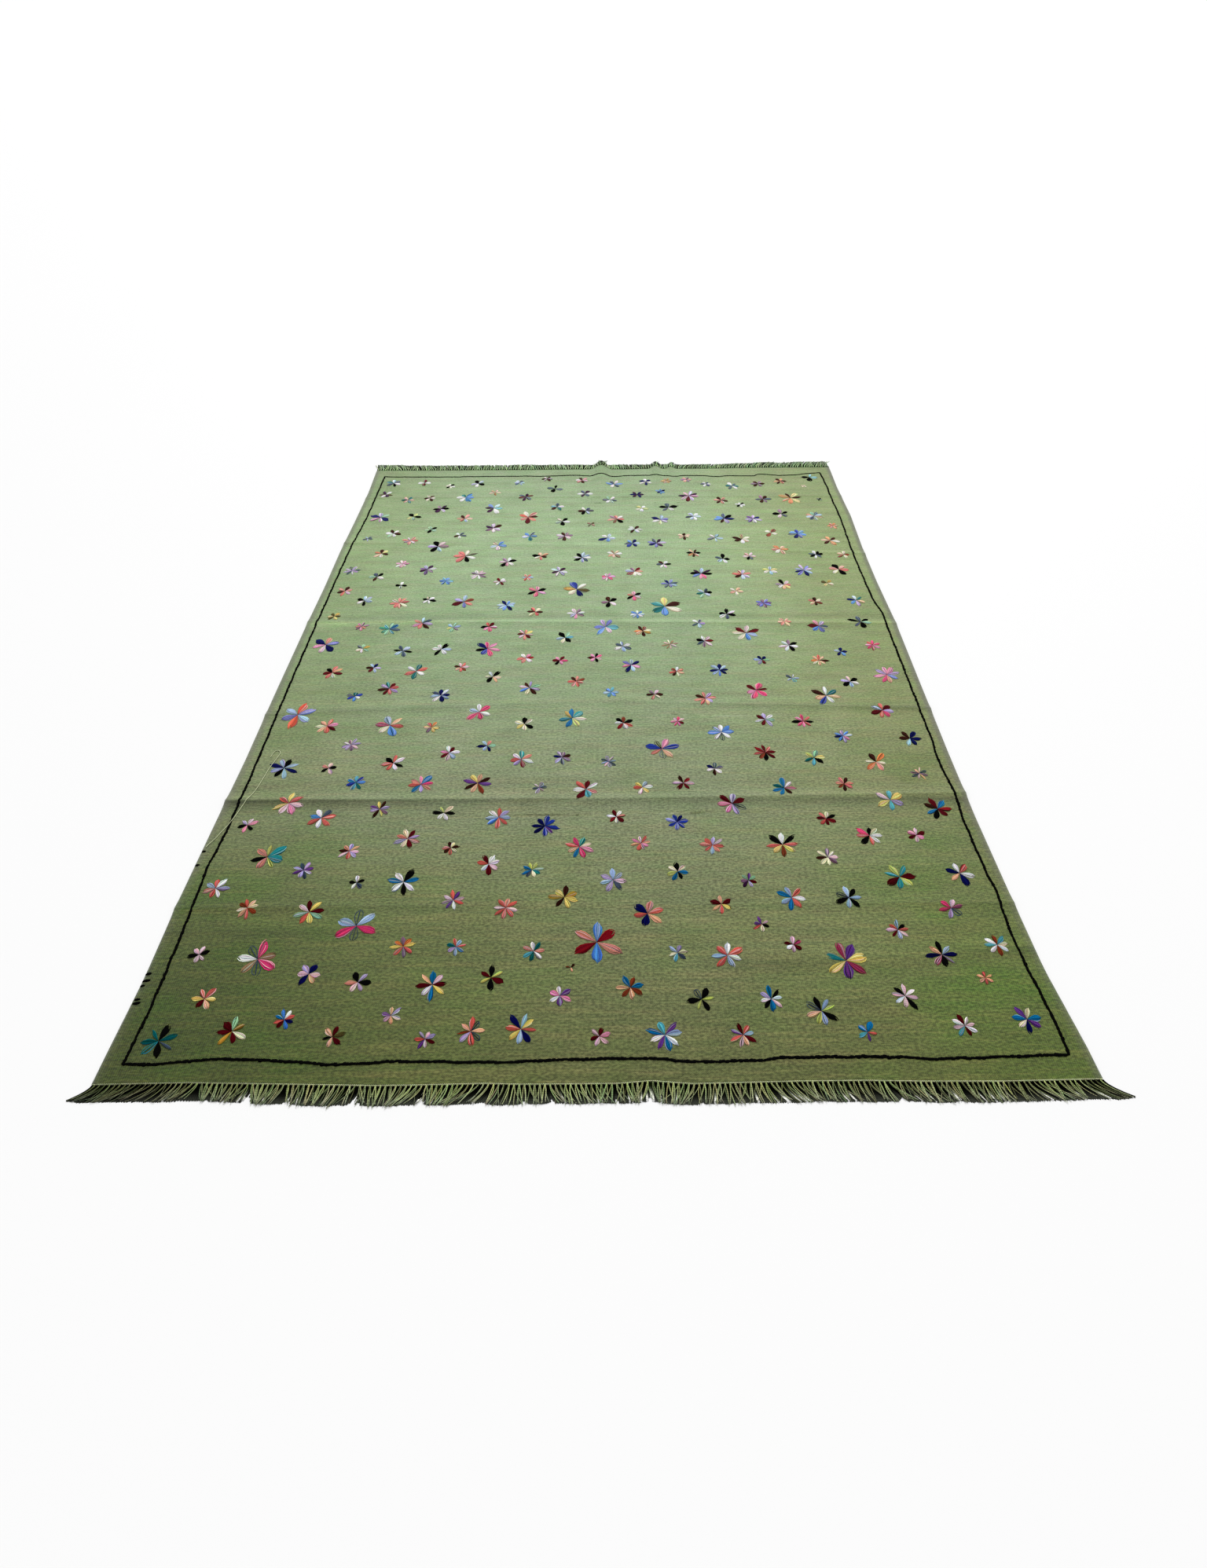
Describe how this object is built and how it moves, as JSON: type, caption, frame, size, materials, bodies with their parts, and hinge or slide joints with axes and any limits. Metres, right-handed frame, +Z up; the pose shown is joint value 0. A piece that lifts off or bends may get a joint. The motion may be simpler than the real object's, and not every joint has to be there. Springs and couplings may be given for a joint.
{
  "type": "suzani kilim rug",
  "caption": "Large flat-woven green wool rug with small embroidered flowers, a stitched border line and fringed ends, lying open on the floor.",
  "frame": {"origin": "on the floor, under the middle of the rug's whole outline with both fringes", "axes": "+X across the rug to the right, +Y along the rug from the near end to the far end, +Z up from the floor"},
  "size_m": [2.1098, 2.9216, 0.0236],
  "materials": {
    "ground_cloth": "matt flat-woven wool with fine cross ribs",
    "fringe": "matt plied wool yarn",
    "loose_yarn": "matt plied wool yarn"
  },
  "bodies": {
    "root": {"ground_cloth": "ground_cloth", "near_fringe": "fringe", "far_fringe": "fringe", "loose_yarn": "loose_yarn"}
  },
  "joints": []
}
